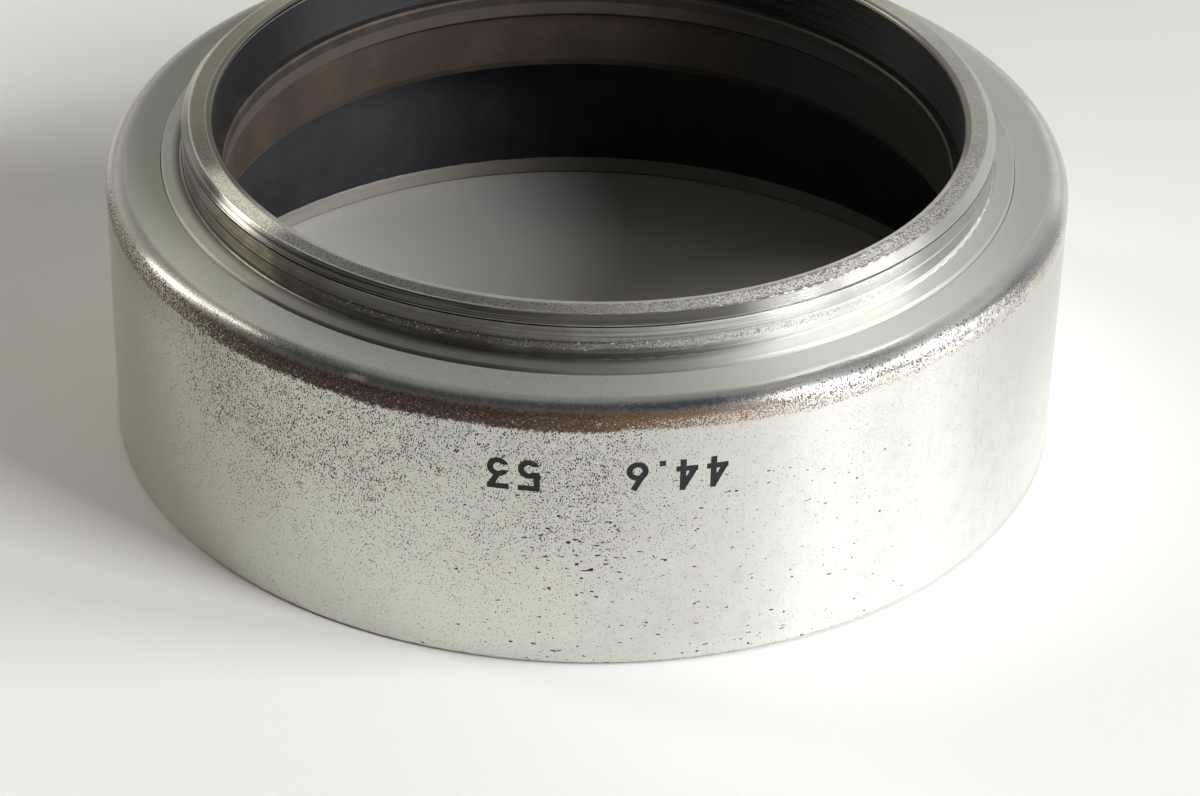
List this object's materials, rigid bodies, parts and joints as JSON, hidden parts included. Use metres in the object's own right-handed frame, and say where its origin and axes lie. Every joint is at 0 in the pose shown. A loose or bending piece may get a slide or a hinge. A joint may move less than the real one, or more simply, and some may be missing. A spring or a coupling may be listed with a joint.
{
  "type": "lens hood",
  "caption": "Round metal lens hood: a wide shell with a rounded shoulder, a narrow push-fit neck, and a screwed filter ring over a slip ring.",
  "frame": {"origin": "centre of the mouth, in the plane of the mouth rim that the hood stands on", "axes": "+Z along the optical axis from the mouth to the neck, -Y towards the engraved numerals"},
  "size_m": [0.053, 0.053, 0.0184],
  "materials": {
    "shell_chrome": "satin chrome on brass, worn and pitted, matt black inside",
    "collar_chrome": "satin chrome on brass, worn",
    "ring_chrome": "satin chrome head, blackened bore",
    "slip_metal": "bare turned metal",
    "tube_bronze": "dull bronze-brown lacquer",
    "nut_brass": "blackened brass, worn at the slots",
    "numeral_black": "black enamel filling"
  },
  "bodies": {
    "hood": {"hood_shell": "shell_chrome", "neck_collar": "collar_chrome", "baffle_tube": "tube_bronze", "lock_nut": "nut_brass", "numeral_paint": "numeral_black"},
    "slip_body": {"slip_ring": "slip_metal"},
    "ring_body": {"retaining_ring": "ring_chrome"}
  },
  "joints": [
    {"name": "ring_travel", "type": "slide", "parent": "hood", "child": "slip_body", "axis": [0, 0, 1], "range_m": [0, 0.00225]},
    {"name": "ring_turn", "type": "hinge", "parent": "slip_body", "child": "ring_body", "pos_m": [0, 0, 0.0167], "axis": [0, 0, 1], "range_deg": [0, 1080]}
  ],
  "couplings": [
    {"joint": "ring_travel", "follows": "ring_turn", "m_per_rad": 0.00011936}
  ]
}
